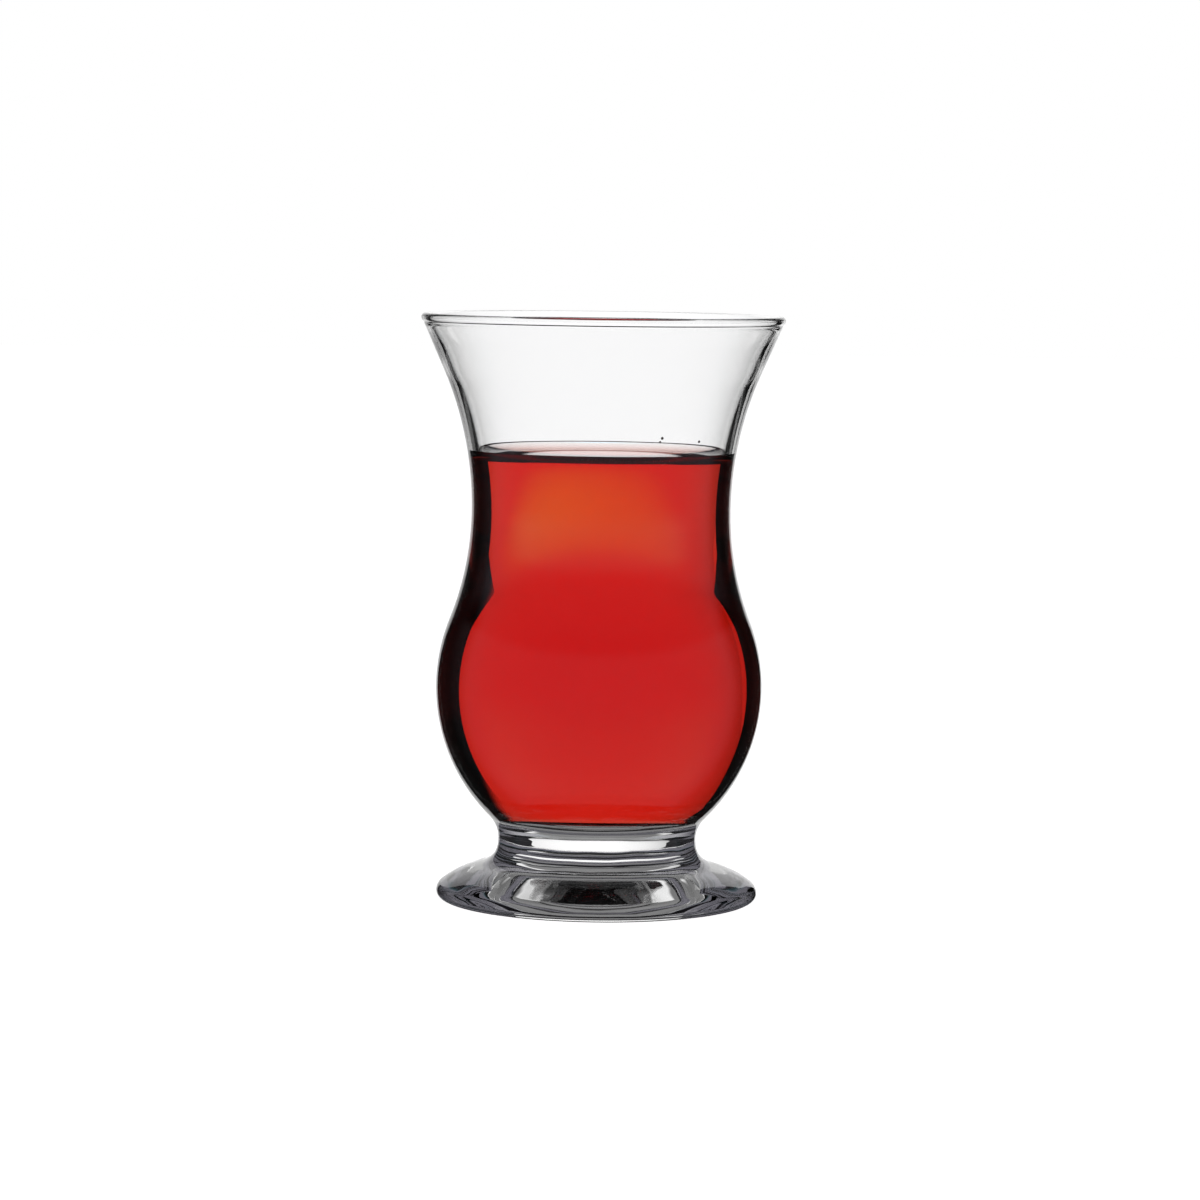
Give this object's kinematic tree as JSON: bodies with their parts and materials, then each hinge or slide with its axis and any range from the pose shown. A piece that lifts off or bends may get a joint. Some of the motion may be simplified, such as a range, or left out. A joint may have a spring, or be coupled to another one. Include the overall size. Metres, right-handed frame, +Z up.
{
  "type": "turkish tea glass",
  "caption": "Clear footed tea glass with a flared mouth, narrow waist and round belly, filled with black tea to below the rim.",
  "frame": {"origin": "centre of the plane that the foot rests on, on the glass's axis", "axes": "+Z up along the glass's axis, from the foot to the mouth; the glass is round, so X and Y are any two level directions"},
  "size_m": [0.0602, 0.0602, 0.097],
  "materials": {
    "glass": "clear and polished",
    "tea": "clear liquid"
  },
  "bodies": {
    "root": {"glass": "glass", "tea": "tea"}
  },
  "joints": []
}
